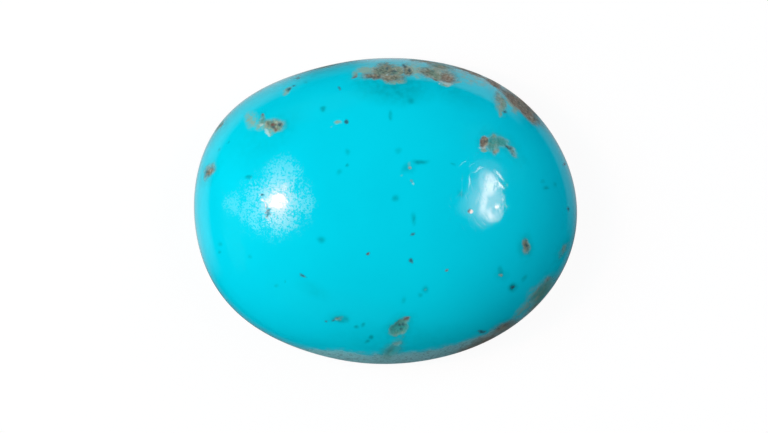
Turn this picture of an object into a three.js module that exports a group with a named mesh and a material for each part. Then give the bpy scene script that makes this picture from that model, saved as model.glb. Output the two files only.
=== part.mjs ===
// A polished oval turquoise cabochon: one natural stone with a domed crown, a steep ground edge and a flat back.
// Millimetres, +Z up. The origin is the middle of the flat back, +X runs along the oval's length.
import * as THREE from "three";

// Driving dimensions
const LENGTH = 19.15;
const WIDTH = 15.3;
const HEIGHT = 6.4;

// The widest line of the stone stands a little above the back, over a rounded lower edge
const GIRDLE_HEIGHT = 0.45;
const BACK_INSET = 0.5;

// The crown is a superellipse: a larger fullness flattens the top, a larger shoulder steepens the edge
const CROWN_FULLNESS = 2.3;
const CROWN_SHOULDER = 2.4;

// The outline was cut by hand, so it swells and flattens around a true ellipse by a few hundredths
const OUTLINE_SWELLS = [
  { lobes: 3, swell: 0.031, peakDegrees: 34 },
  { lobes: 4, swell: 0.085, peakDegrees: 51.4 },
  { lobes: 5, swell: 0.042, peakDegrees: -1.8 },
  { lobes: 6, swell: 0.036, peakDegrees: 32.7 },
  { lobes: 7, swell: 0.021, peakDegrees: -2 },
];

// Shallow pits where soft brown matrix wore lower than the turquoise, seen from above.
// Half sizes are along the pit's own length and width, and the turn is anticlockwise from +X.
const PITS = [
  { name: "north ledge", x: 0.2, y: 6.9, halfLength: 1.25, halfWidth: 0.5, turnDegrees: 2, depth: 0.14 },
  { name: "north blob", x: 3.1, y: 6.65, halfLength: 0.65, halfWidth: 0.4, turnDegrees: -20, depth: 0.12 },
  { name: "north-east skin", x: 6.65, y: 5.3, halfLength: 1.6, halfWidth: 0.45, turnDegrees: -41, depth: 0.14 },
  { name: "east block", x: 5.1, y: 3.4, halfLength: 0.7, halfWidth: 0.45, turnDegrees: -15, depth: 0.12 },
  { name: "west patch", x: -5.6, y: 4.3, halfLength: 0.9, halfWidth: 0.45, turnDegrees: -12, depth: 0.1 },
  { name: "south patch", x: 0.7, y: -5.8, halfLength: 0.6, halfWidth: 0.5, turnDegrees: 40, depth: 0.1 },
];

// How finely the faceted solid follows the curves
const SEGMENTS = 120;
const CROWN_RINGS = 30;
const EDGE_RINGS = 4;
const BACK_RINGS = 2;

const TURQUOISE = 0x00bcd4;

// The stone's section from the middle of the back to the top of the crown, with the outline's radius taken as 1.
function sectionPoints() {
  const insetShare = BACK_INSET / (WIDTH / 2);
  const points = [];
  for (let i = 0; i < BACK_RINGS; i++) {
    points.push(new THREE.Vector2(((1 - insetShare) * i) / BACK_RINGS, 0));
  }
  const lowerEdge = new THREE.EllipseCurve(1 - insetShare, GIRDLE_HEIGHT, insetShare, GIRDLE_HEIGHT, -Math.PI / 2, 0);
  points.push(...lowerEdge.getPoints(EDGE_RINGS));
  for (let i = 1; i <= CROWN_RINGS; i++) {
    points.push(crownPoint((i / CROWN_RINGS) * (Math.PI / 2)));
  }
  return points;
}

// A point of the crown's section, where the angle runs from 0 at the girdle to a quarter turn at the top.
function crownPoint(angle) {
  const radius = angle < Math.PI / 2 ? Math.cos(angle) ** (2 / CROWN_FULLNESS) : 0;
  const rise = Math.sin(angle) ** (2 / CROWN_SHOULDER);
  return new THREE.Vector2(radius, GIRDLE_HEIGHT + (HEIGHT - GIRDLE_HEIGHT) * rise);
}

// Distance from the middle of the stone to its outline, in the direction of an angle from +X.
function outlineRadius(angle) {
  const a = LENGTH / 2;
  const b = WIDTH / 2;
  const ellipse = (a * b) / Math.hypot(b * Math.cos(angle), a * Math.sin(angle));
  const swells = OUTLINE_SWELLS.map(({ lobes, swell, peakDegrees }) => {
    return swell * Math.cos(lobes * (angle - THREE.MathUtils.degToRad(peakDegrees)));
  });
  return swells.reduce((sum, swell) => sum + swell, ellipse);
}

// How deep the pits are at a place seen from above: full depth in a pit's middle, easing to nothing at its rim.
function pitDepth(x, y) {
  const depths = PITS.map((pit) => {
    const turn = THREE.MathUtils.degToRad(pit.turnDegrees);
    const along = (x - pit.x) * Math.cos(turn) + (y - pit.y) * Math.sin(turn);
    const across = (y - pit.y) * Math.cos(turn) - (x - pit.x) * Math.sin(turn);
    const reach = Math.hypot(along / pit.halfLength, across / pit.halfWidth);
    return pit.depth * (1 - THREE.MathUtils.smoothstep(reach, 0.4, 1));
  });
  return Math.max(...depths);
}

// Turns the round blank's unit radius into the hand-cut outline.
function cutOutline(geometry) {
  const places = geometry.getAttribute("position");
  for (let i = 0; i < places.count; i++) {
    const radius = outlineRadius(Math.atan2(places.getY(i), places.getX(i)));
    places.setX(i, places.getX(i) * radius);
    places.setY(i, places.getY(i) * radius);
  }
}

// Brings the cut stone to its overall length and width, centred over the origin.
function fitToSize(geometry) {
  geometry.computeBoundingBox();
  const middle = geometry.boundingBox.getCenter(new THREE.Vector3());
  const size = geometry.boundingBox.getSize(new THREE.Vector3());
  geometry.translate(-middle.x, -middle.y, 0);
  geometry.scale(LENGTH / size.x, WIDTH / size.y, 1);
}

// Sinks the crown along its normals into the pits.
function sinkPits(geometry) {
  geometry.computeVertexNormals();
  const places = geometry.getAttribute("position");
  const normals = geometry.getAttribute("normal");
  const place = new THREE.Vector3();
  const normal = new THREE.Vector3();
  for (let i = 0; i < places.count; i++) {
    place.fromBufferAttribute(places, i);
    if (place.z <= GIRDLE_HEIGHT) continue;
    normal.fromBufferAttribute(normals, i);
    place.addScaledVector(normal, -pitDepth(place.x, place.y));
    places.setXYZ(i, place.x, place.y, place.z);
  }
}

function makeStone() {
  const geometry = new THREE.LatheGeometry(sectionPoints(), SEGMENTS);
  geometry.rotateX(Math.PI / 2);
  cutOutline(geometry);
  fitToSize(geometry);
  sinkPits(geometry);
  const polish = new THREE.MeshStandardMaterial({ color: TURQUOISE, roughness: 0.25, metalness: 0 });
  const stone = new THREE.Mesh(geometry, polish);
  stone.name = "stone";
  return stone;
}

const cabochon = new THREE.Group();
cabochon.add(makeStone());

export default cabochon;
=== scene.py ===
"""A polished oval turquoise with brown matrix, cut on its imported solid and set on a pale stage."""

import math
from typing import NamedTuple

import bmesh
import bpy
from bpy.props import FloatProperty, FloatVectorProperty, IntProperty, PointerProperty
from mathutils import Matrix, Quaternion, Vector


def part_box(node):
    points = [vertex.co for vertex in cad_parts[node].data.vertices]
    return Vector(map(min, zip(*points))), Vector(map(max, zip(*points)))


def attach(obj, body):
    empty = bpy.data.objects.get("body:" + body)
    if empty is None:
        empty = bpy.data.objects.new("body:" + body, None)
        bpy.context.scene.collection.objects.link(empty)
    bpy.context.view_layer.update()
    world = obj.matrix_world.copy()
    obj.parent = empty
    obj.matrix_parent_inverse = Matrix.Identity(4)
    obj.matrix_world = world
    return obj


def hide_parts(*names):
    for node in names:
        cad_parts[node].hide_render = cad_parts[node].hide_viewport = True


bl_info = {
    "name": "Turquoise Cabochon",
    "version": (1, 0, 0),
    "blender": (4, 5, 0),
    "location": "3D View > Sidebar > Turquoise",
    "description": "Cuts a polished oval turquoise with brown matrix and sets it on a pale stage",
    "category": "Add Mesh",
}

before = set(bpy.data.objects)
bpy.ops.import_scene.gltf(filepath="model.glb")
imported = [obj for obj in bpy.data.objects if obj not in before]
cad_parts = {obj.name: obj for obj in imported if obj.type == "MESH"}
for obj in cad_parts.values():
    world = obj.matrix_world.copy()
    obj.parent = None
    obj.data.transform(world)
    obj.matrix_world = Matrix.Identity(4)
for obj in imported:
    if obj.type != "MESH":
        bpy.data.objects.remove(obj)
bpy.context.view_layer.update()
stone_low, stone_high = (Vector(corner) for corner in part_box("stone"))
stone_size = stone_high - stone_low

MM = 0.001
QUARTER_TURN = math.pi / 2

# The photograph's frame in pixels, its scale at the stone's widest line, and the stone's middle in it
IMAGE_WIDTH = 768
IMAGE_HEIGHT = 433
MM_PER_PIXEL = 0.05
MIDDLE_PIXEL_X = 385.5
MIDDLE_PIXEL_Y = 211.0

# How finely the stone's blank is divided, and the angles from the top where its crown and lower edge end
TOP_DIVISIONS = 150
SIDE_DIVISIONS = 112
CROWN_END = math.radians(128)
LOWER_EDGE_END = math.radians(134)

# The outline was cut by hand, so it swells and flattens around a true ellipse.
# Each swell has a number of lobes, a height in millimetres and the direction of a peak in degrees.
OUTLINE_SWELLS = [
    (3, 0.031, 34.0),
    (4, 0.085, 51.4),
    (5, 0.042, -1.8),
    (6, 0.036, 32.7),
    (7, 0.021, -2.0),
]

# Kinds of marking in the stone; the painted glint is a bright dot put where the polish shines
MATRIX, VEIL, TEAL, SPECK, RUST, CRUMB, PAINTED_GLINT, WORN_AND_SHEEN, SCRATCH = range(9)


class Mark(NamedTuple):
    """A marking seen from above, in millimetres from the middle of the stone.

    The turn is in degrees from +X. The tone runs from green to brown in matrix, and is the strength of
    a veil, a teal spot or worn polish, whose pale colour is partly a painted sheen. Matrix lies at a depth
    below the polish, and its edge is soft over a width.
    """

    kind: int
    x: float
    y: float
    length: float
    width: float
    turn: float = 0.0
    tone: float = 0.5
    depth: float = 0.0
    soft: float = 0.06


MARKS = [
    # North ledge
    Mark(MATRIX, 0.03, 7.0, 0.95, 0.62, -3, 0.62, 0.1, 0.09),
    Mark(MATRIX, 0.55, 6.98, 0.7, 0.6, 0, 0.5, 0.1, 0.09),
    Mark(MATRIX, 1.07, 6.97, 0.5, 0.6, 8, 0.62, 0.08, 0.12),
    Mark(MATRIX, 0.3, 6.64, 1.3, 0.42, -4, 0.7, 0.06, 0.1),
    Mark(MATRIX, -0.53, 6.73, 1.1, 0.34, 2, 0.9, 0.05, 0.1),
    Mark(MATRIX, -0.38, 6.95, 0.6, 0.5, 20, 0.6, 0.06, 0.12),
    Mark(MATRIX, 0.03, 7.26, 0.8, 0.2, 2, 0.7, 0.04),
    Mark(VEIL, -1.0, 7.02, 1.3, 0.62, 6, 1.0),
    Mark(VEIL, -1.5, 6.85, 0.6, 0.5, 30, 0.6),
    Mark(VEIL, 0.35, 6.42, 1.6, 0.42, -3, 0.8),
    Mark(VEIL, 1.5, 7.0, 1.1, 1.0, -10, 1.0),
    Mark(CRUMB, 0.13, 6.84, 0.12, 0.09),
    # Broad darker bands under the ledge: partly its teal halo, partly painted shade along the north edge
    Mark(TEAL, 0.4, 6.1, 5.0, 2.1, -3, 0.55),
    Mark(TEAL, 3.4, 5.9, 4.2, 1.7, -20, 0.22),
    Mark(RUST, -1.55, 6.68, 0.28, 0.11, 33),
    Mark(SPECK, 0.1, 7.15, 0.12, 0.1),
    Mark(SPECK, 0.45, 7.0, 0.16, 0.1, 20),
    Mark(SPECK, 0.95, 7.2, 0.14, 0.1, -10),
    Mark(SPECK, 1.18, 7.05, 0.14, 0.1, 30),
    # North-east patch
    Mark(MATRIX, 2.15, 6.9, 0.95, 0.46, -8, 0.55, 0.05, 0.14),
    Mark(MATRIX, 2.55, 6.75, 0.85, 0.46, -22, 0.5, 0.05, 0.16),
    Mark(MATRIX, 2.42, 6.6, 0.4, 0.17, -35, 0.9, 0.04),
    Mark(MATRIX, 3.05, 6.62, 0.95, 0.55, -8, 0.92, 0.07, 0.16),
    Mark(MATRIX, 2.75, 7.2, 1.1, 0.42, -11, 0.55, 0.03, 0.16),
    Mark(VEIL, 2.6, 6.85, 2.2, 1.0, -14, 0.8),
    Mark(VEIL, 3.0, 6.28, 0.8, 0.32, -8, 1.0),
    Mark(VEIL, 3.58, 6.4, 0.75, 0.13, 14, 1.0),
    Mark(VEIL, 4.3, 6.6, 3.2, 0.9, -22, 0.45),
    Mark(CRUMB, 2.98, 6.33, 0.5, 0.14, -6),
    Mark(CRUMB, 3.08, 6.2, 0.26, 0.1, 10),
    Mark(CRUMB, 2.75, 6.42, 0.2, 0.1, -30),
    # North-east skin
    Mark(MATRIX, 2.2, 7.42, 2.2, 0.16, -9, 0.7),
    Mark(MATRIX, 4.2, 6.95, 2.2, 0.18, -21, 0.85),
    Mark(MATRIX, 5.45, 6.33, 1.1, 0.3, -33, 0.95),
    Mark(MATRIX, 6.75, 5.3, 2.8, 0.6, -42, 0.9, 0.1, 0.12),
    Mark(MATRIX, 6.25, 5.72, 1.0, 0.42, -40, 1.0, 0.08, 0.1),
    Mark(MATRIX, 7.25, 4.75, 1.1, 0.5, -46, 0.8, 0.08, 0.14),
    Mark(MATRIX, 6.95, 5.45, 2.4, 0.3, -43, 0.95),
    Mark(VEIL, 6.3, 5.3, 2.0, 0.7, -45, 0.7),
    # North-east tongue
    Mark(VEIL, 5.74, 5.3, 1.4, 0.7, 98, 0.85),
    Mark(VEIL, 5.7, 4.85, 0.5, 0.4, 98, 0.9),
    Mark(MATRIX, 5.66, 5.64, 0.46, 0.3, 100, 0.45, 0.03, 0.2),
    Mark(MATRIX, 5.82, 5.32, 0.5, 0.22, 100, 0.3, 0.03, 0.2),
    Mark(SPECK, 5.98, 4.88, 0.13, 0.12),
    # East block
    Mark(MATRIX, 4.9, 3.42, 0.66, 0.46, 80, 0.8, 0.08),
    Mark(MATRIX, 5.34, 3.4, 0.8, 0.55, 95, 0.05, 0.04, 0.14),
    Mark(MATRIX, 5.45, 2.95, 0.24, 0.2, 85, 0.5, 0.02, 0.12),
    Mark(MATRIX, 5.7, 3.43, 0.85, 0.48, -22, 0.08, 0.04, 0.14),
    Mark(MATRIX, 6.05, 3.22, 0.55, 0.17, -38, 0.15, 0.03, 0.08),
    Mark(MATRIX, 6.34, 2.96, 0.42, 0.18, -62, 0.45, 0.03, 0.1),
    Mark(VEIL, 5.38, 3.76, 0.34, 0.16, -40, 1.0),
    Mark(VEIL, 5.45, 2.98, 0.4, 0.36, 85, 0.7),
    Mark(TEAL, 5.5, 3.4, 2.0, 1.0, -20, 0.3),
    Mark(CRUMB, 4.84, 3.17, 0.28, 0.1, 8),
    Mark(VEIL, 4.88, 3.02, 0.55, 0.32, 5, 1.0),
    Mark(SPECK, 6.06, 3.165, 0.12, 0.1),
    Mark(SPECK, 6.22, 3.1, 0.1, 0.09),
    # West patch
    Mark(VEIL, -6.65, 4.5, 1.2, 1.0, 95, 0.6),
    Mark(VEIL, -6.75, 4.62, 0.85, 0.6, 110, 0.7),
    Mark(VEIL, -6.5, 4.35, 1.1, 0.6, -25, 0.8),
    Mark(VEIL, -6.3, 4.25, 1.1, 0.7, -15, 0.85),
    Mark(VEIL, -5.6, 4.25, 1.35, 0.9, -5, 1.0),
    Mark(VEIL, -5.75, 3.88, 0.5, 0.4, -40, 0.8),
    Mark(MATRIX, -6.13, 4.52, 0.32, 0.26, 70, 0.3, 0.03, 0.1),
    Mark(MATRIX, -5.82, 4.32, 0.3, 0.24, 90, 0.6, 0.03, 0.14),
    Mark(MATRIX, -5.5, 4.27, 0.8, 0.5, -5, 0.45, 0.05, 0.18),
    Mark(RUST, -6.11, 4.74, 0.12, 0.1),
    Mark(RUST, -5.6, 4.27, 0.24, 0.14, 15),
    Mark(SPECK, -5.29, 4.33, 0.22, 0.12, 20),
    Mark(SPECK, -5.53, 4.13, 0.14, 0.1, -30),
    Mark(RUST, -5.43, 4.05, 0.14, 0.1, -20),
    Mark(CRUMB, -6.18, 4.27, 0.2, 0.17),
    Mark(CRUMB, -5.95, 3.98, 0.2, 0.16, -40),
    Mark(CRUMB, -5.82, 3.83, 0.26, 0.17, -50),
    Mark(TEAL, -4.9, 4.25, 0.6, 0.9, 0, 0.35),
    # Broad faint clouds, painted shade that darkens the upper left and the south edge
    Mark(TEAL, -5.9, 3.8, 5.5, 3.0, 40, 0.2),
    Mark(TEAL, 0.5, -6.5, 11.0, 2.4, 2, 0.2),
    # North-west dots
    Mark(VEIL, -4.85, 5.98, 0.9, 0.34, 35, 0.8),
    Mark(SPECK, -4.77, 6.02, 0.2, 0.13, 25),
    Mark(SPECK, -4.55, 6.2, 0.1, 0.08),
    Mark(RUST, -4.35, 6.62, 0.14, 0.07, 15),
    Mark(TEAL, -4.0, 6.4, 0.2, 0.16, 0, 0.5),
    Mark(SPECK, -2.28, 6.08, 0.1, 0.09),
    Mark(TEAL, -3.08, 5.08, 0.4, 0.32, 10, 1.0),
    Mark(VEIL, -2.34, 4.37, 0.55, 0.26, 5, 1.0),
    Mark(VEIL, -2.65, 4.14, 0.3, 0.12, 25, 0.6),
    Mark(SPECK, -1.9, 4.4, 0.2, 0.18),
    # Teal spots of the north
    Mark(TEAL, 1.22, 5.5, 0.65, 0.6, 0, 0.6),
    Mark(TEAL, 0.12, 5.55, 0.3, 0.2, 0, 0.45),
    Mark(TEAL, 0.23, 4.75, 0.62, 0.28, 90, 0.7),
    Mark(TEAL, 0.62, 3.0, 0.55, 0.45, 0, 0.35),
    Mark(TEAL, 0.48, 0.62, 0.44, 0.4, 0, 0.6),
    Mark(TEAL, 3.32, 2.3, 0.44, 0.13, -32, 0.7),
    Mark(TEAL, 3.75, 0.8, 0.5, 0.4, -30, 0.45),
    Mark(TEAL, 7.78, 1.45, 0.26, 0.22, 0, 0.5),
    Mark(TEAL, 7.95, 1.15, 0.4, 0.28, 20, 0.8),
    Mark(TEAL, 8.4, 1.3, 0.4, 0.3, 80, 0.5),
    # Green streaks above the middle
    Mark(TEAL, 1.75, 2.45, 1.0, 0.32, -4, 0.8),
    Mark(TEAL, 1.0, 2.1, 0.9, 0.5, 50, 0.35),
    Mark(VEIL, 1.2, 2.3, 0.5, 0.3, 75, 0.35),
    Mark(VEIL, 0.75, 1.75, 0.36, 0.22, 20, 0.28),
    Mark(MATRIX, 1.19, 2.11, 0.14, 0.12, 0, 0.55, 0.0, 0.05),
    Mark(RUST, 1.28, 1.5, 0.08, 0.07),
    Mark(CRUMB, 1.36, 1.38, 0.07, 0.06),
    # Spots of the west
    Mark(MATRIX, -8.77, 1.95, 0.68, 0.33, 57, 0.92, 0.02, 0.12),
    Mark(VEIL, -8.53, 2.3, 0.4, 0.28, 55, 0.6),
    Mark(TEAL, -6.77, 1.65, 0.42, 0.28, 10, 0.9),
    Mark(TEAL, -1.87, 2.92, 0.46, 0.28, 90, 0.5),
    Mark(TEAL, -1.87, 2.25, 0.2, 0.18, 0, 0.8),
    Mark(TEAL, -2.27, 1.9, 0.46, 0.32, 55, 0.5),
    Mark(TEAL, -3.2, -1.41, 0.5, 0.44, 0, 0.55),
    Mark(TEAL, -8.22, -1.68, 0.36, 0.3, 0, 0.45),
    Mark(TEAL, -8.22, -2.07, 0.2, 0.18, 0, 0.6),
    Mark(TEAL, -6.77, -2.3, 0.3, 0.24, 0, 0.5),
    Mark(TEAL, -7.8, 3.45, 0.17, 0.16, 0, 0.7),
    Mark(TEAL, -8.28, 3.05, 0.22, 0.2, 0, 0.6),
    Mark(TEAL, -5.38, -3.68, 0.28, 0.24, 0, 0.45),
    Mark(TEAL, -5.0, -3.48, 0.16, 0.14, 0, 0.6),
    Mark(TEAL, -3.6, -3.9, 2.2, 0.9, -25, 0.16),
    Mark(SPECK, -6.11, 0.76, 0.14, 0.11),
    Mark(SPECK, -5.92, 0.22, 0.12, 0.07, -50),
    Mark(RUST, -5.78, 0.03, 0.12, 0.08, -40),
    Mark(SPECK, -5.85, -0.2, 0.12, 0.07, 60),
    Mark(SPECK, -5.7, 0.08, 0.1, 0.06, 20),
    Mark(SPECK, -5.71, -0.1, 0.11, 0.06, -35),
    Mark(RUST, -5.89, -0.06, 0.09, 0.05, 30),
    # Painted highlight: two bright dots in the white wedge of the left highlight
    Mark(PAINTED_GLINT, -6.1, 0.47, 0.2, 0.08, -40),
    Mark(PAINTED_GLINT, -5.95, 0.25, 0.15, 0.07, -50),
    Mark(CRUMB, -5.84, -0.3, 0.16, 0.09, -60),
    Mark(CRUMB, -5.86, -0.52, 0.12, 0.08),
    # Specks of the south
    Mark(TEAL, 1.4, -0.4, 0.75, 0.3, 92, 0.65),
    Mark(SPECK, 1.33, -1.13, 0.16, 0.14),
    Mark(SPECK, 1.3, -2.44, 0.24, 0.16, 105),
    Mark(SPECK, -4.06, -3.21, 0.28, 0.12, -25),
    Mark(SPECK, -0.85, -2.14, 0.13, 0.1, 50),
    Mark(RUST, -0.85, -2.13, 0.07, 0.05, 50),
    Mark(RUST, 3.03, -2.9, 0.14, 0.12),
    Mark(TEAL, 1.97, -3.85, 0.5, 0.42, -20, 0.6),
    Mark(VEIL, 1.97, -3.85, 0.18, 0.16, 0, 0.35),
    Mark(TEAL, 1.72, -4.13, 0.34, 0.3, 0, 0.45),
    Mark(TEAL, 0.86, -4.39, 0.46, 0.32, 80, 0.35),
    Mark(TEAL, 5.7, -3.0, 0.7, 0.32, 95, 0.7),
    Mark(MATRIX, 5.76, -3.22, 0.16, 0.14, 0, 0.4),
    Mark(TEAL, 6.32, -3.8, 0.62, 0.46, 25, 1.0),
    Mark(SPECK, 6.3, -3.8, 0.17, 0.1, 20),
    Mark(TEAL, 6.88, -3.35, 0.46, 0.3, 40, 0.55),
    # Painted glint: a bright dot where a small pit shines, beside its real rust rim
    Mark(PAINTED_GLINT, 4.28, 0.0, 0.2, 0.2),
    Mark(RUST, 4.17, 0.03, 0.16, 0.1, 80),
    # South dots
    Mark(TEAL, -2.27, -5.34, 1.1, 0.46, 2, 1.0),
    Mark(MATRIX, -2.38, -5.33, 0.27, 0.14, 8, 0.35, 0.03, 0.08),
    Mark(SPECK, -2.62, -5.44, 0.12, 0.09, 30),
    Mark(SPECK, -2.92, -5.47, 0.1, 0.09),
    Mark(TEAL, -1.43, -5.73, 0.28, 0.26, 0, 1.0),
    Mark(TEAL, -1.14, -5.65, 0.28, 0.25, 0, 0.9),
    Mark(TEAL, -0.91, -6.48, 0.42, 0.38, 0, 1.0),
    Mark(TEAL, -0.68, -6.27, 0.34, 0.3, 0, 1.0),
    Mark(TEAL, 0.78, -6.52, 0.26, 0.22, 0, 0.6),
    # South patch
    Mark(TEAL, 0.72, -5.8, 1.7, 1.5, 40, 0.4),
    Mark(MATRIX, 0.62, -5.88, 0.85, 0.6, 15, 0.06, 0.06, 0.08),
    Mark(MATRIX, 0.76, -5.64, 0.8, 0.44, 40, 0.12, 0.06, 0.08),
    Mark(MATRIX, 0.9, -5.84, 0.66, 0.42, 75, 0.08, 0.06, 0.08),
    Mark(RUST, 1.03, -5.34, 0.24, 0.12, 25),
    Mark(SPECK, 0.74, -5.7, 0.13, 0.11),
    Mark(SPECK, 0.91, -5.63, 0.13, 0.1, 40),
    Mark(SPECK, 0.83, -5.87, 0.1, 0.09),
    Mark(MATRIX, 0.3, -6.95, 0.75, 0.4, 35, 0.0, 0.03, 0.3),
    Mark(MATRIX, 0.53, -6.6, 0.34, 0.22, 40, 0.15, 0.02, 0.2),
    # East and south-east
    Mark(TEAL, 6.97, -1.72, 1.1, 0.85, 90, 0.5),
    Mark(MATRIX, 6.96, -1.72, 0.62, 0.37, 92, 0.45, 0.04, 0.08),
    Mark(SPECK, 6.98, -1.68, 0.2, 0.09, 90),
    Mark(MATRIX, 8.85, -1.95, 0.4, 0.16, 60, 0.2, 0.0, 0.12),
    Mark(SPECK, 9.08, 0.05, 0.16, 0.09, 90),
    Mark(RUST, 8.91, 2.35, 0.14, 0.1, 60),
    Mark(MATRIX, 7.8, -4.1, 1.7, 0.62, 55, 0.16, 0.05, 0.2),
    Mark(MATRIX, 8.08, -3.48, 0.4, 0.28, 45, 0.5, 0.03, 0.18),
    Mark(MATRIX, 7.7, -3.88, 0.4, 0.24, 50, 0.5, 0.03, 0.18),
    Mark(MATRIX, 7.5, -4.75, 1.1, 0.3, 50, 0.5, 0.02, 0.2),
    Mark(VEIL, 7.3, -4.2, 1.7, 0.8, 55, 0.4),
    Mark(VEIL, 6.8, -4.9, 2.6, 0.65, 46, 0.45),
    Mark(MATRIX, 5.9, -5.84, 1.15, 0.42, 27, 0.85, 0.04, 0.2),
    Mark(MATRIX, 4.95, -6.5, 1.5, 0.4, 23, 0.85, 0.0, 0.18),
    Mark(MATRIX, 4.2, -6.83, 1.2, 0.26, 18, 0.8, 0.0, 0.1),
    Mark(SPECK, 4.81, -5.99, 0.3, 0.09, 4),
    # Worn polish under the left light, rougher and paler: partly real wear, partly a painted sheen of that
    # light's haze
    Mark(WORN_AND_SHEEN, -5.45, 0.3, 5.4, 4.8, 10, 0.76),
    Mark(WORN_AND_SHEEN, -5.1, 1.75, 3.0, 2.6, 68, 0.95),
    Mark(WORN_AND_SHEEN, -4.15, 0.4, 1.9, 2.2, 0, 0.95),
    Mark(WORN_AND_SHEEN, -4.95, -0.6, 2.1, 1.4, -10, 0.95),
    Mark(WORN_AND_SHEEN, -6.75, -0.1, 2.0, 1.6, -30, 0.95),
    Mark(WORN_AND_SHEEN, -7.5, 0.35, 1.6, 1.8, -20, 0.85),
    # Scratches under the right light
    Mark(SCRATCH, 4.5, 2.08, 0.55, 0.08, 40),
    Mark(SCRATCH, 3.78, 2.35, 0.45, 0.07, 45),
    Mark(SCRATCH, 4.15, 1.5, 0.65, 0.07, 80),
    # Thin skin of the north-west edge
    Mark(MATRIX, -3.0, 7.22, 0.7, 0.09, 13, 0.6),
    Mark(MATRIX, -8.28, 4.25, 0.5, 0.09, 55, 0.7),
]


class StoneSettings(bpy.types.PropertyGroup):
    """Sizes and colours of the stone."""

    length: FloatProperty(
        name="Length", description="Length of the oval", default=stone_size.x, min=MM, unit="LENGTH"
    )
    width: FloatProperty(
        name="Width", description="Width of the oval", default=stone_size.y, min=MM, unit="LENGTH"
    )
    height: FloatProperty(
        name="Height", description="Height above the back", default=stone_size.z, min=MM, unit="LENGTH"
    )
    girdle_height: FloatProperty(
        name="Girdle Height", description="Height of the widest line", default=0.45 * MM, unit="LENGTH"
    )
    back_inset: FloatProperty(
        name="Back Inset", description="How far the lower edge rounds in", default=0.5 * MM, unit="LENGTH"
    )
    crown_fullness: FloatProperty(
        name="Crown Fullness", description="A larger value flattens the top", default=2.3, min=1.5, max=4
    )
    crown_shoulder: FloatProperty(
        name="Crown Shoulder", description="A larger value steepens the edge", default=2.4, min=1.5, max=4
    )
    seed: IntProperty(name="Seed", description="Picks the clouds, grain and scratches", default=7)
    turquoise: FloatVectorProperty(
        name="Turquoise", description="Main blue of the stone", subtype="COLOR", default=(0.0, 0.54, 0.665)
    )
    cloud: FloatVectorProperty(
        name="Cloud", description="Deeper blue of the clouds", subtype="COLOR", default=(0.0, 0.44, 0.57)
    )
    teal: FloatVectorProperty(
        name="Teal", description="Dark green spots", subtype="COLOR", default=(0.0, 0.24, 0.27)
    )
    veil: FloatVectorProperty(
        name="Veil", description="Pale halo beside the matrix", subtype="COLOR", default=(0.2, 0.35, 0.285)
    )
    # Greyer colour of the duller lower band, highest along the front
    ground: FloatVectorProperty(
        name="Ground Edge", description="Matte unpolished edge", subtype="COLOR", default=(0.2, 0.46, 0.47)
    )
    speck: FloatVectorProperty(
        name="Speck", description="Dark blue specks", subtype="COLOR", default=(0.0, 0.06, 0.09)
    )
    pore: FloatVectorProperty(
        name="Pore", description="Dark pores of the matrix", subtype="COLOR", default=(0.025, 0.035, 0.028)
    )
    grain: FloatVectorProperty(
        name="Grain", description="Pale grains of the matrix", subtype="COLOR", default=(0.36, 0.4, 0.33)
    )
    rust: FloatVectorProperty(
        name="Rust", description="Red-brown specks", subtype="COLOR", default=(0.13, 0.055, 0.045)
    )
    chalk: FloatVectorProperty(
        name="Chalk", description="Pale crumbs in the pits", subtype="COLOR", default=(0.34, 0.5, 0.48)
    )
    # Bright colour of the painted glints, dots put where the polish shines
    cream: FloatVectorProperty(
        name="Cream", description="Bright grains", subtype="COLOR", default=(0.95, 0.8, 0.72)
    )
    # Pale colour of the worn polish: partly dust, partly a painted sheen of the left light's haze
    scuff_and_sheen: FloatVectorProperty(
        name="Scuff", description="Dust in the worn polish", subtype="COLOR", default=(0.8, 0.8, 0.8)
    )


class StageSettings(bpy.types.PropertyGroup):
    """Light, floor and camera."""

    left_light: FloatProperty(
        name="Left Light", description="Strength of the left lamps", default=1.0, min=0
    )
    left_tint: FloatVectorProperty(
        name="Left Tint", description="Tint of the left lamps", subtype="COLOR", default=(1.0, 0.3, 0.12)
    )
    right_light: FloatProperty(
        name="Right Light", description="Strength of the right lamps", default=1.0, min=0
    )
    right_tint: FloatVectorProperty(
        name="Right Tint", description="Tint of the right lamps", subtype="COLOR", default=(1.0, 0.66, 0.56)
    )
    fill_light: FloatProperty(
        name="Fill Light", description="Strength of the soft lights", default=1.0, min=0
    )
    floor_glow: FloatProperty(
        name="Floor Glow", description="How bright the floor is in the polish", default=0.75, min=0
    )
    lens: FloatProperty(
        name="Lens", description="Focal length", default=500.0, min=35, unit="CAMERA"
    )


class Wire:
    """A value running through a node tree. Arithmetic on it adds the nodes of that formula."""

    def __init__(self, socket):
        self.socket = socket
        self.tree = socket.id_data

    def __add__(self, other):
        return calculate(self.tree, "ADD", self, other)

    __radd__ = __add__

    def __sub__(self, other):
        return calculate(self.tree, "SUBTRACT", self, other)

    def __rsub__(self, other):
        return calculate(self.tree, "SUBTRACT", other, self)

    def __mul__(self, other):
        return calculate(self.tree, "MULTIPLY", self, other)

    __rmul__ = __mul__

    def __truediv__(self, other):
        return calculate(self.tree, "DIVIDE", self, other)

    def __rtruediv__(self, other):
        return calculate(self.tree, "DIVIDE", other, self)

    def __pow__(self, other):
        return calculate(self.tree, "POWER", self, other)

    def apply(self, operation, *others):
        """The value through any other operation of a Math node."""
        return calculate(self.tree, operation, self, *others)


def feed(socket, value):
    """Joins a wire to a socket, or sets the socket to a plain value."""
    if isinstance(value, Wire):
        socket.id_data.links.new(value.socket, socket)
    else:
        socket.default_value = value


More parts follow.
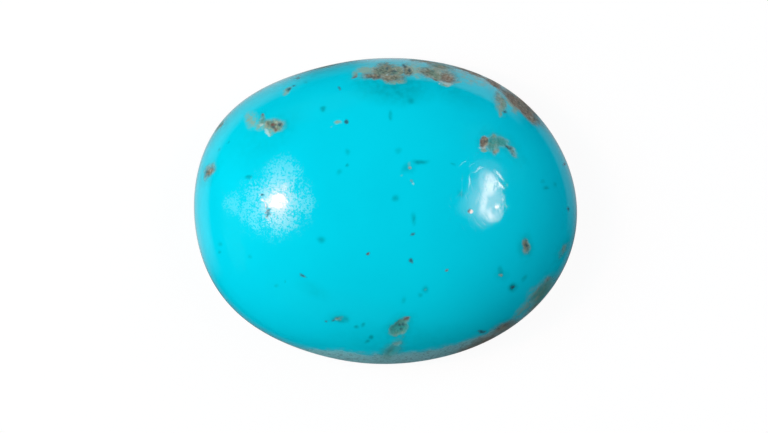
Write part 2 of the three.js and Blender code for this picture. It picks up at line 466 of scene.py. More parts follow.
def add_node(tree, kind, inputs=None, **settings):
    """Adds a node with its settings and inputs, which are keyed by name or by number."""
    node = tree.nodes.new(kind)
    for name, value in settings.items():
        setattr(node, name, value)
    for key, value in (inputs or {}).items():
        feed(node.inputs[key], value)
    return node


def calculate(tree, operation, *values):
    """One Math node."""
    return Wire(add_node(tree, "ShaderNodeMath", dict(enumerate(values)), operation=operation).outputs[0])


def ease(value, start, end, low=0.0, high=1.0):
    """Runs smoothly from low to high as the value goes from start to end."""
    inputs = {"Value": value, "From Min": start, "From Max": end, "To Min": low, "To Max": high}
    node = add_node(value.tree, "ShaderNodeMapRange", inputs, interpolation_type="SMOOTHSTEP")
    return Wire(node.outputs["Result"])


def split(vector):
    """The three parts of a vector."""
    return [Wire(part) for part in add_node(vector.tree, "ShaderNodeSeparateXYZ", {0: vector}).outputs]


def join(tree, x, y, z):
    """A vector of three parts."""
    return Wire(add_node(tree, "ShaderNodeCombineXYZ", {0: x, 1: y, 2: z}).outputs[0])


def scaled(vector, factor):
    """A vector times a number."""
    node = add_node(vector.tree, "ShaderNodeVectorMath", {0: vector, "Scale": factor}, operation="SCALE")
    return Wire(node.outputs["Vector"])


def noise(place, grain, detail=2.0, roughness=0.5, seed=0.0):
    """Noise from 0 to 1 whose grain is a size in the units of the place."""
    inputs = {"Vector": place, "W": seed, "Scale": 1 / grain, "Detail": detail, "Roughness": roughness}
    return Wire(add_node(place.tree, "ShaderNodeTexNoise", inputs, noise_dimensions="4D").outputs[0])


def mottle(place, grain, **settings):
    """Noise spread out evenly from 0 to 1."""
    return ease(noise(place, grain, **settings), 0.3, 0.7)


def mix_colours(share, first, second):
    """A colour between two others."""
    colours = [value if isinstance(value, Wire) else (*value, 1.0) for value in (first, second)]
    inputs = {0: share, 6: colours[0], 7: colours[1]}
    return Wire(add_node(share.tree, "ShaderNodeMix", inputs, data_type="RGBA").outputs[2])


def mix_values(share, first, second):
    """A value between two others."""
    return Wire(add_node(share.tree, "ShaderNodeMix", {0: share, 2: first, 3: second}).outputs[0])


def worked(mesh, kind, **inputs):
    """A mesh after a node that changes it."""
    return Wire(add_node(mesh.tree, kind, {"Geometry": mesh, **inputs}).outputs[0])


def point_position(tree):
    """Where each point of a mesh is."""
    return Wire(add_node(tree, "GeometryNodeInputPosition").outputs[0])


def stone_blank(tree):
    """An evenly divided ball, as the mesh and the direction of each of its points from the middle."""
    cube = add_node(
        tree,
        "GeometryNodeMeshCube",
        {
            "Size": (2, 2, 2),
            "Vertices X": TOP_DIVISIONS + 1,
            "Vertices Y": TOP_DIVISIONS + 1,
            "Vertices Z": SIDE_DIVISIONS + 1,
        },
    )
    evened = [(part * (math.pi / 4)).apply("TANGENT") for part in split(point_position(tree))]
    return Wire(cube.outputs["Mesh"]), evened


def section(polar, sizes):
    """Radius, as a share of the outline, and height of the stone's section at an angle from the top."""
    crown = (polar / CROWN_END).apply("MINIMUM", 1.0) * QUARTER_TURN
    edge = (polar - CROWN_END) / (LOWER_EDGE_END - CROWN_END)
    edge = edge.apply("MAXIMUM", 0.0).apply("MINIMUM", 1.0) * QUARTER_TURN
    back = ((math.pi - polar) / (math.pi - LOWER_EDGE_END)).apply("MINIMUM", 1.0)
    inset_share = sizes["Back Inset"] / (sizes["Width"] * 0.5)
    rounding = inset_share * (1.0 - edge.apply("COSINE"))
    radius = (crown.apply("SINE") ** (2.0 / sizes["Crown Fullness"]) - rounding) * back
    rise = crown.apply("COSINE").apply("MAXIMUM", 0.0) ** (2.0 / sizes["Crown Shoulder"])
    girdle = sizes["Girdle Height"]
    height = girdle + (sizes["Height"] - girdle) * rise - girdle * edge.apply("SINE")
    return radius, height


def outline_radius(angle, sizes):
    """Distance from the middle of the stone to its outline at an angle from +X."""
    a = sizes["Length"] * 0.5
    b = sizes["Width"] * 0.5
    across = b * angle.apply("COSINE")
    along = a * angle.apply("SINE")
    radius = a * b / (across * across + along * along).apply("SQRT")
    for lobes, swell, peak in OUTLINE_SWELLS:
        radius = radius + (lobes * (angle - math.radians(peak))).apply("COSINE") * swell
    return radius


def cut_stone(tree, sizes):
    """The stone's mesh in millimetres, fitted to its length and width."""
    blank, (x, y, z) = stone_blank(tree)
    flat = (x * x + y * y).apply("SQRT")
    polar = flat.apply("ARCTAN2", z)
    angle = y.apply("ARCTAN2", x)
    radius, height = section(polar, sizes)
    reach = radius * outline_radius(angle, sizes)
    place = join(tree, reach * angle.apply("COSINE"), reach * angle.apply("SINE"), height)
    cut = worked(blank, "GeometryNodeSetPosition", Position=place)
    box = add_node(tree, "GeometryNodeBoundBox", {"Geometry": cut})
    low_x, low_y, _ = split(Wire(box.outputs["Min"]))
    high_x, high_y, _ = split(Wire(box.outputs["Max"]))
    x, y, z = split(point_position(tree))
    fitted_x = (x - (low_x + high_x) * 0.5) * (sizes["Length"] / (high_x - low_x))
    fitted_y = (y - (low_y + high_y) * 0.5) * (sizes["Width"] / (high_y - low_y))
    return worked(cut, "GeometryNodeSetPosition", Position=join(tree, fitted_x, fitted_y, z))


def sample(marks, name, index):
    """A named number of one mark."""
    attribute = add_node(marks.tree, "GeometryNodeInputNamedAttribute", {"Name": name})
    inputs = {"Geometry": marks, "Value": Wire(attribute.outputs["Attribute"]), "Index": index}
    return Wire(add_node(marks.tree, "GeometryNodeSampleIndex", inputs).outputs[0])


# Marks that are a distance in from their edge, and marks that are a strength from 0 to 1
DISTANCES = {
    "matrix": MATRIX,
    "speck": SPECK,
    "rust": RUST,
    "crumb": CRUMB,
    "cream": PAINTED_GLINT,
    "scratch": SCRATCH,
}
STRENGTHS = {"veil": VEIL, "teal": TEAL, "worn": WORN_AND_SHEEN}
LOOKS = [*DISTANCES, *STRENGTHS, "tone", "soft"]
FIELDS = [*LOOKS, "sink"]

# A distance that no mark reaches, and how near two kinds have to be to count as the same
FAR_OUTSIDE = 100.0
SAME_KIND = 0.1

# Where a mark's strength and its pit begin and are full, as shares of its radius
STRENGTH_START = 1.15
STRENGTH_FULL = 0.1
PIT_START = 1.1
PIT_FULL = 0.3


def read_marks(tree, marks, x, y):
    """The fields that all the marks together make on the stone, by name."""
    start = tree.nodes.new("GeometryNodeRepeatInput")
    end = tree.nodes.new("GeometryNodeRepeatOutput")
    start.pair_with_output(end)
    end.repeat_items.clear()
    for name in FIELDS:
        end.repeat_items.new("FLOAT", name)
    for name in DISTANCES:
        start.inputs[name].default_value = -FAR_OUTSIDE
    count = add_node(tree, "GeometryNodeAttributeDomainSize", {"Geometry": marks})
    feed(start.inputs["Iterations"], Wire(count.outputs["Point Count"]))
    index = Wire(start.outputs["Iteration"])
    so_far = {name: Wire(start.outputs[name]) for name in FIELDS}
    mark = {name: sample(marks, name, index) for name in Mark._fields}

    cosine = mark["turn"].apply("COSINE")
    sine = mark["turn"].apply("SINE")
    from_x = x - mark["x"]
    from_y = y - mark["y"]
    along = (from_x * cosine + from_y * sine) / (mark["length"] * 0.5)
    across = (from_y * cosine - from_x * sine) / (mark["width"] * 0.5)
    reach = (along * along + across * across).apply("SQRT")
    inside = (1.0 - reach) * mark["width"] * 0.5
    fading = ease(reach, STRENGTH_START, STRENGTH_FULL) * mark["tone"]

    kinds = [*DISTANCES.values(), *STRENGTHS.values()]
    is_kind = {kind: mark["kind"].apply("COMPARE", kind, SAME_KIND) for kind in kinds}
    found = {name: inside - (1.0 - is_kind[kind]) * FAR_OUTSIDE for name, kind in DISTANCES.items()}
    found.update({name: fading * is_kind[kind] for name, kind in STRENGTHS.items()})
    found["sink"] = ease(reach, PIT_START, PIT_FULL) * mark["depth"]
    result = {name: so_far[name].apply("MAXIMUM", value) for name, value in found.items()}
    is_deeper = found["matrix"].apply("GREATER_THAN", so_far["matrix"])
    for name in ("tone", "soft"):
        result[name] = mix_values(is_deeper, so_far[name], mark[name])
    for name in FIELDS:
        feed(end.inputs[name], result[name])
    return {name: Wire(end.outputs[name]) for name in FIELDS}


SIZE_INPUTS = [
    "Length",
    "Width",
    "Height",
    "Girdle Height",
    "Back Inset",
    "Crown Fullness",
    "Crown Shoulder",
]

# Unevenness of the stone in millimetres: how far the edges of its marks wander and its dome swells, and the
# grain of both and of the floors of its pits
WARP = 0.1
WARP_GRAIN = 0.6
SWELL = 0.06
SWELL_GRAIN = 5.0
PIT_GRAIN = 0.3


def cabochon_tree():
    """The tree that cuts the stone and sets its marks, from a mesh whose points are the marks."""
    tree = bpy.data.node_groups.new("Cabochon", "GeometryNodeTree")
    tree.interface.new_socket("Marks", in_out="INPUT", socket_type="NodeSocketGeometry")
    for name in SIZE_INPUTS:
        tree.interface.new_socket(name, in_out="INPUT", socket_type="NodeSocketFloat")
    tree.interface.new_socket("Seed", in_out="INPUT", socket_type="NodeSocketFloat")
    tree.interface.new_socket("Material", in_out="INPUT", socket_type="NodeSocketMaterial")
    tree.interface.new_socket("Stone", in_out="OUTPUT", socket_type="NodeSocketGeometry")
    group_input = tree.nodes.new("NodeGroupInput")
    sizes = {name: Wire(group_input.outputs[name]) for name in SIZE_INPUTS}
    seed = Wire(group_input.outputs["Seed"])

    stone = cut_stone(tree, sizes)
    position = point_position(tree)
    x, y, z = split(position)
    warped_x = x + (mottle(position, WARP_GRAIN, seed=seed) - 0.5) * WARP
    warped_y = y + (mottle(position, WARP_GRAIN, seed=seed + 10.0) - 0.5) * WARP
    fields = read_marks(tree, Wire(group_input.outputs["Marks"]), warped_x, warped_y)
    for name in LOOKS:
        stone = worked(stone, "GeometryNodeStoreNamedAttribute", Name=name, Value=fields[name])

    # Pits and swells end above the girdle, so that the outline stays whole
    uneven = 0.7 + 0.6 * noise(position, PIT_GRAIN, detail=3.0, seed=seed + 20.0)
    pit = fields["sink"] * uneven * ease(z, 0.5, 0.9)
    swell = (noise(position, SWELL_GRAIN, detail=1.0, seed=seed + 30.0) - 0.5) * SWELL * ease(z, 0.4, 1.5)
    normal = Wire(add_node(tree, "GeometryNodeInputNormal").outputs["Normal"])
    stone = worked(stone, "GeometryNodeSetPosition", Offset=scaled(normal, swell - pit))

    stone = worked(stone, "GeometryNodeTransform", Scale=(MM, MM, MM))
    stone = worked(stone, "GeometryNodeSetShadeSmooth")
    stone = worked(stone, "GeometryNodeRealizeInstances")
    stone = worked(stone, "GeometryNodeSetMaterial", Material=Wire(group_input.outputs["Material"]))
    add_node(tree, "NodeGroupOutput", {"Stone": stone})
    return tree


def marks_mesh():
    """A mesh with a point for each mark, which carries the mark's numbers."""
    mesh = bpy.data.meshes.new("marks")
    mesh.from_pydata([(mark.x, mark.y, 0) for mark in MARKS], [], [])
    for name in Mark._fields:
        values = [getattr(mark, name) for mark in MARKS]
        if name == "turn":
            values = [math.radians(value) for value in values]
        mesh.attributes.new(name, "FLOAT", "POINT").data.foreach_set("value", values)
    return mesh


def grow_mesh(context, tree, points, values):
    """The mesh that a tree makes from a mesh of points, with values for its inputs by name."""
    blank = bpy.data.objects.new("blank", points)
    context.scene.collection.objects.link(blank)
    modifier = blank.modifiers.new(tree.name, "NODES")
    modifier.node_group = tree
    for socket in tree.interface.items_tree:
        if socket.name in values:
            modifier[socket.identifier] = values[socket.name]
    depsgraph = context.evaluated_depsgraph_get()
    grown = blank.evaluated_get(depsgraph)
    mesh = bpy.data.meshes.new_from_object(grown, preserve_all_data_layers=True, depsgraph=depsgraph)
    bpy.data.objects.remove(blank)
    bpy.data.meshes.remove(points)
    return mesh


BACK_TOLERANCE = 0.0001 * MM


def flatten_back(mesh):
    """Joins the many faces of the flat back into one."""
    bm = bmesh.new()
    bm.from_mesh(mesh)
    on_back = [face for face in bm.faces if all(abs(vertex.co.z) < BACK_TOLERANCE for vertex in face.verts)]
    bmesh.ops.dissolve_faces(bm, faces=on_back, use_verts=True)
    bm.to_mesh(mesh)
    bm.free()


def attribute(tree, name):
    """A named number of the stone's mesh."""
    return Wire(add_node(tree, "ShaderNodeAttribute", attribute_name=name).outputs["Fac"])


def heading(x, y, azimuth):
    """How nearly a place lies toward an azimuth from the middle of the stone, from -1 to 1."""
    toward = math.radians(azimuth)
    return (x * math.cos(toward) + y * math.sin(toward)) / (x * x + y * y).apply("SQRT")


# The matte band: the azimuth of the stone's front, the cosines beside it between which the band rises, its
# height in millimetres elsewhere and at the front, and how far its upper edge wanders
FRONT = 279
RISE_START = 0.62
RISE_END = 0.93
BAND_LOW = 0.7
BAND_HIGH = 3.15
BAND_WANDER = 0.35


def ground_mask(place, seed):
    """The greyer, duller band along the lower edge: high along the front, low elsewhere."""
    x, y, z = split(place)
    ragged = (mottle(place, grain=0.6, detail=4.0, seed=seed) - 0.5) * BAND_WANDER
    top = ease(heading(x, y, FRONT), RISE_START, RISE_END, BAND_LOW, BAND_HIGH)
    return ease(top + ragged - z, start=-0.3, end=0.45)


def mark_masks(place, seed):
    """How much each kind of marking shows at a place, from 0 to 1."""
    tree = place.tree
    cloudy = mottle(place, grain=0.3, detail=3.0, seed=seed) - 0.5
    ragged = mottle(place, grain=0.25, detail=3.0, roughness=0.55, seed=seed + 1) - 0.5
    fine = mottle(place, grain=0.1, roughness=0.6, seed=seed + 2) - 0.5
    inside = attribute(tree, "matrix") + ragged * 0.06 + fine * 0.03
    soft = attribute(tree, "soft")
    return {
        "teal": attribute(tree, "teal") * (0.9 + cloudy * 0.5),
        "veil": ease(attribute(tree, "veil") * (1.0 + cloudy + fine * 0.5), 0.05, 0.9),
        "halo": ease(attribute(tree, "matrix") + cloudy * 0.2, -0.4, 0.0),
        "matrix": ease(inside, soft * -1.15, soft * 1.15),
        "rim": ease(inside, 0.12, 0.02),
        "crumb": ease(attribute(tree, "crumb") + ragged * 0.08, -0.05, 0.05),
        "cream": ease(attribute(tree, "cream"), -0.04, 0.04),
        "speck": ease(attribute(tree, "speck") + fine * 0.03, -0.06, 0.035),
        "rust": ease(attribute(tree, "rust") + fine * 0.03, -0.06, 0.035),
        "scratch": ease(attribute(tree, "scratch"), -0.02, 0.03),
    }


# Colours of the matrix along its tone, from green to brown
MATRIX_STOPS = [
    (0.0, (0.02, 0.265, 0.235)),
    (0.3, (0.09, 0.24, 0.18)),
    (0.6, (0.205, 0.21, 0.135)),
    (0.85, (0.19, 0.155, 0.1)),
    (1.0, (0.17, 0.11, 0.07)),
]


def matrix_colour(place, masks, settings):
    """Grainy green to brown matrix in blotches, with dark pores, pale grains and a tan rim."""
    seed = settings.seed + 20
    blotch = mottle(place, grain=0.4, seed=seed) - 0.5
    tone = attribute(place.tree, "tone") + blotch * 0.3 + masks["rim"] * 0.15
    ramp = add_node(place.tree, "ShaderNodeValToRGB", {"Fac": tone})
    elements = ramp.color_ramp.elements
    for index, (stop, colour) in enumerate(MATRIX_STOPS):
        element = elements[index] if index < len(elements) else elements.new(stop)
        element.position = stop
        element.color = (*colour, 1.0)
    grains = mottle(place, grain=0.13, seed=seed + 1) + blotch * 0.5
    browned = ease(tone, 0.1, 0.6, low=0.25, high=0.9)
    pores = ease(grains, 0.45, 0.0) * browned * 0.8
    pale_grains = ease(grains, 0.65, 1.05) * browned * 0.6
    colour = mix_colours(pores, Wire(ramp.outputs["Color"]), settings.pore)
    return mix_colours(pale_grains, colour, settings.grain)


# How strongly each layer covers those under it, from the lowest up
COVERS = {
    "cloud": 0.25,
    "teal": 1.0,
    "halo": 0.18,
    # The worn layer is partly a painted sheen: it pales the stone under the left light
    "worn": 0.045,
    "ground": 0.9,
    "veil": 0.95,
    "matrix": 0.95,
    "crumb": 0.85,
    "speck": 0.85,
    # The painted glints cover all under them with their bright colour
    "cream": 1.0,
    "rust": 0.85,
}


def stone_colour(place, masks, settings):
    """The stone's colour, laid from the turquoise up to the specks."""
    grit = mottle(place, grain=0.12, detail=3.0, roughness=0.65, seed=settings.seed + 1)
    colours = {
        "cloud": settings.cloud,
        "teal": settings.teal,
        "halo": settings.teal,
        "worn": settings.scuff_and_sheen,
        "ground": mix_colours(ease(grit, 0.45, 0.1) * 0.6, settings.ground, settings.pore),
        "veil": settings.veil,
        "matrix": matrix_colour(place, masks, settings),
        "crumb": settings.chalk,
        "speck": settings.speck,
        "cream": settings.cream,
        "rust": settings.rust,
    }
    colour = settings.turquoise
    for name, cover in COVERS.items():
        colour = mix_colours(masks[name] * cover, colour, colours[name])
    return colour


# Fine polishing lines: their directions in degrees, their size and bend in millimetres, and how far to the
# right of the middle they start and are full
LINE_TURNS = (35, 80, 105, 125)
LINE_LENGTH = 0.9
LINE_WIDTH = 0.13
LINE_BEND = 1.2
LINE_BEND_GRAIN = 3.0
LINES_START = 2.0
LINES_FULL = 3.5


def scratches(place, turn, seed):
    """Fine bent polishing lines that run along one direction, from 0 to 1."""
    x, y, _ = split(place)
    cosine = math.cos(math.radians(turn))
    sine = math.sin(math.radians(turn))
    bend = noise(place, LINE_BEND_GRAIN, detail=1.0, seed=seed) * LINE_BEND
    along = (x * cosine + y * sine) / LINE_LENGTH
    across = (y * cosine - x * sine + bend) / LINE_WIDTH
    drawn_out = join(place.tree, along, across, 0.0)
    return ease(noise(drawn_out, grain=1.0, detail=1.0, seed=seed + 1), 0.6, 0.72)


def polishing_lines(place, seed):
    """The polishing lines of all directions, on the right of the stone."""
    x, _, _ = split(place)
    return sum(scratches(place, turn, seed + turn) for turn in LINE_TURNS) * ease(x, LINES_START, LINES_FULL)


def worn_and_sheen_mask(place, seed):
    """Where fine scuffs have taken the polish off, from 0 to 1; the pale colour laid there is partly a
    painted sheen under the left light.
    """
    clumps = mottle(place, grain=0.5, detail=3.0, roughness=0.6, seed=seed)
    grit = mottle(place, grain=0.1, roughness=0.6, seed=seed + 1)
    worn = attribute(place.tree, "worn") * (0.5 + clumps * 0.6)
    return ease(worn * (0.1 + grit * 1.8), 0.14, 0.75)


# Refraction of turquoise, roughness of its surfaces, and how much of its polish the matte band lacks
REFRACTION = 1.62
POLISHED = 0.06
SCUFFED = 0.27
UNPOLISHED = 0.65
BAND_DULLNESS = 0.8

# The height of fine relief, and its share in scuffs, scratches, polishing lines, dull stone and specks
RELIEF = 0.03 * MM
SCUFF_RELIEF = 0.15
SCRATCH_RELIEF = 0.14
LINE_RELIEF = 0.034
DULL_RELIEF = 1.5
SPECK_RELIEF = 0.3


def turquoise_material(settings):
    """Polished turquoise with its spots, veils, matrix, greyer lower band, grain and scratches."""
    material = bpy.data.materials.new("polished turquoise")
    material.use_nodes = True
    tree = material.node_tree
    shader = tree.nodes["Principled BSDF"]
    shader.inputs["IOR"].default_value = REFRACTION
    place = scaled(Wire(add_node(tree, "ShaderNodeTexCoord").outputs["Object"]), 1 / MM)
    seed = float(settings.seed)
    masks = mark_masks(place, seed + 10)
    masks["cloud"] = mottle(place, grain=4.0, detail=3.0, seed=seed)
    masks["ground"] = ground_mask(place, seed + 15)
    masks["worn"] = worn_and_sheen_mask(place, seed + 30)
    feed(shader.inputs["Base Color"], stone_colour(place, masks, settings))

    dull = masks["matrix"].apply("MAXIMUM", masks["ground"] * BAND_DULLNESS)
    for name in ("speck", "rust", "crumb", "cream"):
        dull = dull.apply("MAXIMUM", masks[name])
    scuffed = masks["worn"].apply("MAXIMUM", masks["scratch"])
    polish = mix_values(scuffed, POLISHED, SCUFFED)
    feed(shader.inputs["Roughness"], mix_values(dull, polish, UNPOLISHED))

    grain = noise(place, grain=0.12, seed=seed + 32) - 0.5
    lines = polishing_lines(place, seed)
    marred = grain * scuffed * SCUFF_RELIEF + masks["scratch"] * SCRATCH_RELIEF - lines * LINE_RELIEF
    rough = grain * dull * DULL_RELIEF - masks["speck"] * SPECK_RELIEF
    relief = {"Height": marred * (1.0 - dull) + rough, "Strength": 1.0, "Distance": RELIEF}
    bump = add_node(tree, "ShaderNodeBump", relief)
    feed(shader.inputs["Normal"], Wire(bump.outputs["Normal"]))
    return material


class TURQUOISE_OT_cut_stone(bpy.types.Operator):
    """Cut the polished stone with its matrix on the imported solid"""

    bl_idname = "turquoise.cut_stone"
    bl_label = "Cut Stone"

    def execute(self, context):
        settings = context.scene.turquoise_stone
        values = {
            "Length": settings.length / MM,
            "Width": settings.width / MM,
            "Height": settings.height / MM,
            "Girdle Height": settings.girdle_height / MM,
            "Back Inset": settings.back_inset / MM,
            "Crown Fullness": settings.crown_fullness,
            "Crown Shoulder": settings.crown_shoulder,
            "Seed": float(settings.seed),
            "Material": turquoise_material(settings),
        }
        mesh = grow_mesh(context, cabochon_tree(), marks_mesh(), values)
        flatten_back(mesh)
        mesh.name = "cabochon"
        stone = bpy.data.objects.new("cabochon", mesh)
        context.scene.collection.objects.link(stone)
        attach(stone, "root")
        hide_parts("stone")
        return {"FINISHED"}


# Metres from the stone's place on the floor to each lamp
LAMP_DISTANCE = 0.3


class Lamp(NamedTuple):
    """An oval light that faces the stone from a direction in degrees, with sizes in metres.

    The strength is the light that it would throw on the stone if it were even. A lamp that the polish
    mirrors fades toward its edge over a soft share of its radius. The fills are even and aren't mirrored.
    """

    name: str
    azimuth: float
    elevation: float
    wide: float
    tall: float
    strength: float
    roll: float = 0.0
    soft: float = 0.6
    mirrored: bool = True
    tint: tuple = (1.0, 1.0, 1.0)


def soften(light, share):
    """Fades a lamp toward its edge."""
    light.use_nodes = True
    tree = light.node_tree
    across, along, _ = split(Wire(add_node(tree, "ShaderNodeNewGeometry").outputs["Parametric"]))
    reach = (((across - 0.5) ** 2 + (along - 0.5) ** 2) * 4.0).apply("SQRT")
    feed(tree.nodes["Emission"].inputs["Strength"], ease(reach, 1.0, 1.0 - share))


def add_lamp(scene, lamp):
    """Hangs a lamp."""
    light = bpy.data.lights.new(lamp.name, "AREA")
    light.shape = "ELLIPSE"
    light.size = lamp.wide
    light.size_y = lamp.tall
    light.color = lamp.tint
    light.energy = lamp.strength * math.pi * LAMP_DISTANCE**2
    if lamp.mirrored:
        soften(light, lamp.soft)
    holder = bpy.data.objects.new(lamp.name, light)
    around = math.radians(lamp.azimuth)
    up = math.radians(lamp.elevation)
    toward = Vector((math.cos(up) * math.cos(around), math.cos(up) * math.sin(around), math.sin(up)))
    holder.location = toward * LAMP_DISTANCE
    roll = Quaternion(toward, math.radians(lamp.roll))
    holder.rotation_euler = (roll @ toward.to_track_quat("Z", "Y")).to_euler()
    holder.visible_camera = False
    holder.visible_glossy = lamp.mirrored
    scene.collection.objects.link(holder)


class FloorPatch(NamedTuple):
    """A glowing patch of floor, seen only in the polish, that paints a reflection into the stone's edge.

    It lies toward an azimuth, from the cosine where it starts to the one where it is full. It reaches a
    distance from the stone and fades, both in millimetres, and has a share of the floor's glow.
    """

    azimuth: float
    start: float
    full: float
    reach: float
    fade: float
    share: float


FLOOR_PATCHES = [
    FloorPatch(70, 0.83, 0.94, 14.0, 5.0, 0.6),
    FloorPatch(113, 0.92, 0.985, 3.6, 2.0, 0.15),
    FloorPatch(160, 0.7, 0.9, 6.5, 3.0, 0.48),
    FloorPatch(26, 0.8, 0.97, 3.4, 1.0, 0.26),
    FloorPatch(265, 0.88, 0.98, 1.6, 0.8, 0.2),
]


# The floor: its radius in metres and its sides, its grey where it lights the stone and to the camera, and
# its glow to the camera
FLOOR_RADIUS = 3.0
FLOOR_SIDES = 96
FLOOR_GREY = 0.4
FLOOR_GREY_SEEN = 0.06
FLOOR_GLOW_SEEN = 0.93

# The ring of floor that the polish mirrors all round the stone: its share of the floor's glow, and how many
# millimetres outside the stone it ends and is full
RING_SHARE = 0.16
RING_END = 1.8
RING_FULL = 0.4


def floor_material(glow):
    """A pale floor that the camera sees as near white, and that glows only in the polish beside the stone,
    as a painted reflection.
    """
    material = bpy.data.materials.new("pale floor")
    material.use_nodes = True
    tree = material.node_tree
    shader = tree.nodes["Principled BSDF"]
    shader.inputs["Roughness"].default_value = 0.9
    shader.inputs["Specular IOR Level"].default_value = 0.0
    shader.inputs["Emission Color"].default_value = (1.0, 1.0, 1.0, 1.0)
    rays = add_node(tree, "ShaderNodeLightPath")
    in_polish = Wire(rays.outputs["Is Glossy Ray"])
    to_camera = Wire(rays.outputs["Is Camera Ray"])
    shade = FLOOR_GREY - to_camera * (FLOOR_GREY - FLOOR_GREY_SEEN) - in_polish * FLOOR_GREY
    feed(shader.inputs["Base Color"], join(tree, shade, shade, shade))
    x, y, _ = split(scaled(Wire(add_node(tree, "ShaderNodeTexCoord").outputs["Object"]), 1 / MM))
    along = x / (stone_size.x / 2 / MM)
    across = y / (stone_size.y / 2 / MM)
    outside = (x * x + y * y).apply("SQRT") * (1.0 - 1.0 / (along * along + across * across).apply("SQRT"))
    mirrored = ease(outside, RING_END, RING_FULL) * RING_SHARE
    for patch in FLOOR_PATCHES:
        toward = ease(heading(x, y, patch.azimuth), patch.start, patch.full)
        near = ease(outside, patch.reach + patch.fade, patch.reach - patch.fade)
        mirrored = mirrored + toward * near * patch.share
    mirrored = mirrored * glow
    feed(shader.inputs["Emission Strength"], to_camera * FLOOR_GLOW_SEEN + in_polish * mirrored)
    return material


def add_floor(scene, glow):
    """Lays the floor."""
    mesh = bpy.data.meshes.new("floor")
    bm = bmesh.new()
    bmesh.ops.create_circle(bm, cap_ends=True, segments=FLOOR_SIDES, radius=FLOOR_RADIUS)
    bm.to_mesh(mesh)
    bm.free()
    mesh.materials.append(floor_material(glow))
    floor = bpy.data.objects.new("floor", mesh)
    scene.collection.objects.link(floor)
    return floor


# The surroundings as the camera and the polish see them, and as the light they give
WORLD_SEEN = (0.97, 0.97, 0.97)
WORLD_IN_POLISH = (0.004, 0.004, 0.004)
WORLD_LIGHT = (0.16, 0.17, 0.18)


def studio_world():
    """White to the camera, dark in the polish, and a soft grey light from all around."""
    world = bpy.data.worlds.new("studio")
    world.use_nodes = True
    tree = world.node_tree
    rays = add_node(tree, "ShaderNodeLightPath")
    ambient = mix_colours(Wire(rays.outputs["Is Diffuse Ray"]), WORLD_IN_POLISH, WORLD_LIGHT)
    colour = mix_colours(Wire(rays.outputs["Is Camera Ray"]), ambient, WORLD_SEEN)
    feed(tree.nodes["Background"].inputs["Color"], colour)
    return world


LEFT_LAMPS = [
    Lamp("left lamp", 176.2, 51.8, 0.036, 0.058, 2.3, soft=0.85),
    Lamp("left lobe", 177.5, 47, 0.02, 0.042, 0.36, soft=0.6),
    Lamp("left tail", 165.5, 54.4, 0.026, 0.02, 0.13, soft=0.8),
]

RIGHT_LAMPS = [
    Lamp("right card", 8, 55.6, 0.155, 0.111, 0.3, roll=-23, soft=0.55),
    Lamp("right shelf", 7, 63, 0.081, 0.06, 0.03, roll=-45, soft=0.5),
    Lamp("right glow", 16, 51, 0.116, 0.07, 0.19, roll=-19, soft=0.25),
    Lamp("right upper glow", 29.5, 46, 0.063, 0.115, 0.03, roll=-8, soft=0.5),
    Lamp("right lower glow", 357.6, 49.3, 0.044, 0.028, 0.05, roll=-27, soft=0.25),
    Lamp("right lamp", 20, 50, 0.077, 0.039, 0.21, roll=-45),
    Lamp("right streak", 7.3, 57.1, 0.093, 0.026, 0.2, roll=-24, soft=0.9),
    Lamp("right arc", 357, 54.5, 0.038, 0.061, 0.25, roll=-49, soft=1.0),
    Lamp("right edge", 7.4, 46.1, 0.048, 0.0055, 0.021, roll=-10, soft=0.2),
    Lamp("right spot", 4, 50, 0.013, 0.013, 0.045, soft=0.7),
    Lamp("right upper stroke", 24.4, 42.4, 0.037, 0.0096, 0.034, roll=18, soft=0.55),
    Lamp("right lower stroke", 18.9, 44.9, 0.03, 0.006, 0.034, roll=33, soft=0.4),
]

FILLS = [
    Lamp("left fill", 174, 48, 0.2, 0.2, 2.61, tint=(0.57, 1.0, 1.1)),
    Lamp("low fill", 192, 5, 0.2, 0.2, 1.6, tint=(1.0, 1.0, 0.97)),
    Lamp("front fill", 250, 25, 0.3, 0.2, 0.57, tint=(0.75, 0.97, 1.18)),
    Lamp("back fill", 38, 30, 0.2, 0.2, 1.1, tint=(0.9, 0.97, 1.2)),
    Lamp("low back fill", 112, 8, 0.2, 0.2, 0.65, tint=(1.0, 1.0, 0.93)),
]


SENSOR_WIDTH = 36.0


def add_camera(scene, lens, girdle_height):
    """Hangs the camera straight above, so far up that the stone's widest line has the photograph's scale."""
    data = bpy.data.cameras.new("camera")
    data.sensor_width = SENSOR_WIDTH
    data.lens = lens
    data.dof.use_dof = False
    camera = bpy.data.objects.new("camera", data)
    pixel = MM_PER_PIXEL * MM
    camera.location = (
        (IMAGE_WIDTH / 2 - MIDDLE_PIXEL_X) * pixel,
        (MIDDLE_PIXEL_Y - IMAGE_HEIGHT / 2) * pixel,
        IMAGE_WIDTH * pixel * lens / SENSOR_WIDTH + girdle_height,
    )
    scene.collection.objects.link(camera)
    scene.camera = camera


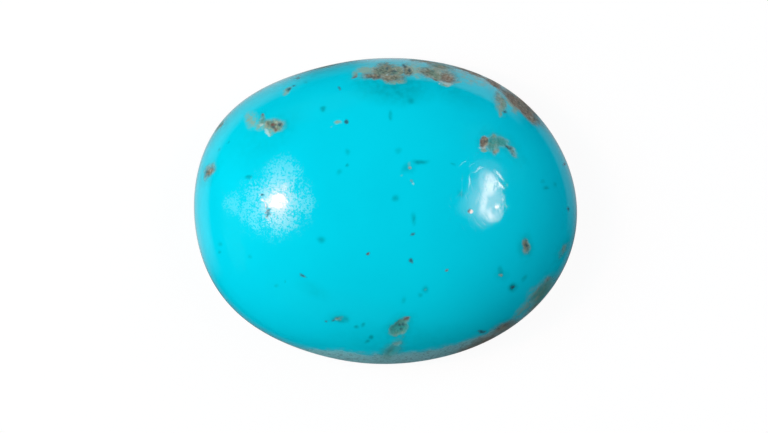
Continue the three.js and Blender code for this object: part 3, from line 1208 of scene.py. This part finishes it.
class TURQUOISE_OT_set_stage(bpy.types.Operator):
    """Lay the pale floor and set the lights, the surroundings and the camera"""

    bl_idname = "turquoise.set_stage"
    bl_label = "Set Stage"

    def execute(self, context):
        scene = context.scene
        settings = scene.turquoise_stage
        scene.world = studio_world()
        scene.view_settings.view_transform = "Standard"
        floor = add_floor(scene, settings.floor_glow)
        groups = [
            (LEFT_LAMPS, settings.left_light, {"tint": settings.left_tint}),
            (RIGHT_LAMPS, settings.right_light, {"tint": settings.right_tint}),
            (FILLS, settings.fill_light, {"mirrored": False}),
        ]
        for lamps, strength, changes in groups:
            for lamp in lamps:
                add_lamp(scene, lamp._replace(strength=lamp.strength * strength, **changes))
        add_camera(scene, settings.lens, scene.turquoise_stone.girdle_height)
        return {"FINISHED"}


class TURQUOISE_PT_panel(bpy.types.Panel):
    """Lists the steps that make the stone"""

    bl_idname = "TURQUOISE_PT_panel"
    bl_label = "Turquoise Cabochon"
    bl_space_type = "VIEW_3D"
    bl_region_type = "UI"
    bl_category = "Turquoise"

    def draw(self, context):
        layout = self.layout
        stone = context.scene.turquoise_stone
        for name in StoneSettings.__annotations__:
            layout.prop(stone, name)
        layout.operator(TURQUOISE_OT_cut_stone.bl_idname)
        stage = context.scene.turquoise_stage
        for name in StageSettings.__annotations__:
            layout.prop(stage, name)
        layout.operator(TURQUOISE_OT_set_stage.bl_idname)


CLASSES = (
    StoneSettings,
    StageSettings,
    TURQUOISE_OT_cut_stone,
    TURQUOISE_OT_set_stage,
    TURQUOISE_PT_panel,
)


def register():
    """Makes the settings, the steps and the panel known."""
    for cls in CLASSES:
        bpy.utils.register_class(cls)
    bpy.types.Scene.turquoise_stone = PointerProperty(type=StoneSettings)
    bpy.types.Scene.turquoise_stage = PointerProperty(type=StageSettings)


def unregister():
    """Takes them away again."""
    del bpy.types.Scene.turquoise_stage
    del bpy.types.Scene.turquoise_stone
    for cls in reversed(CLASSES):
        bpy.utils.unregister_class(cls)


def main():
    """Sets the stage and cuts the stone."""
    register()
    bpy.ops.turquoise.set_stage()
    bpy.ops.turquoise.cut_stone()


if __name__ == "__main__":
    main()
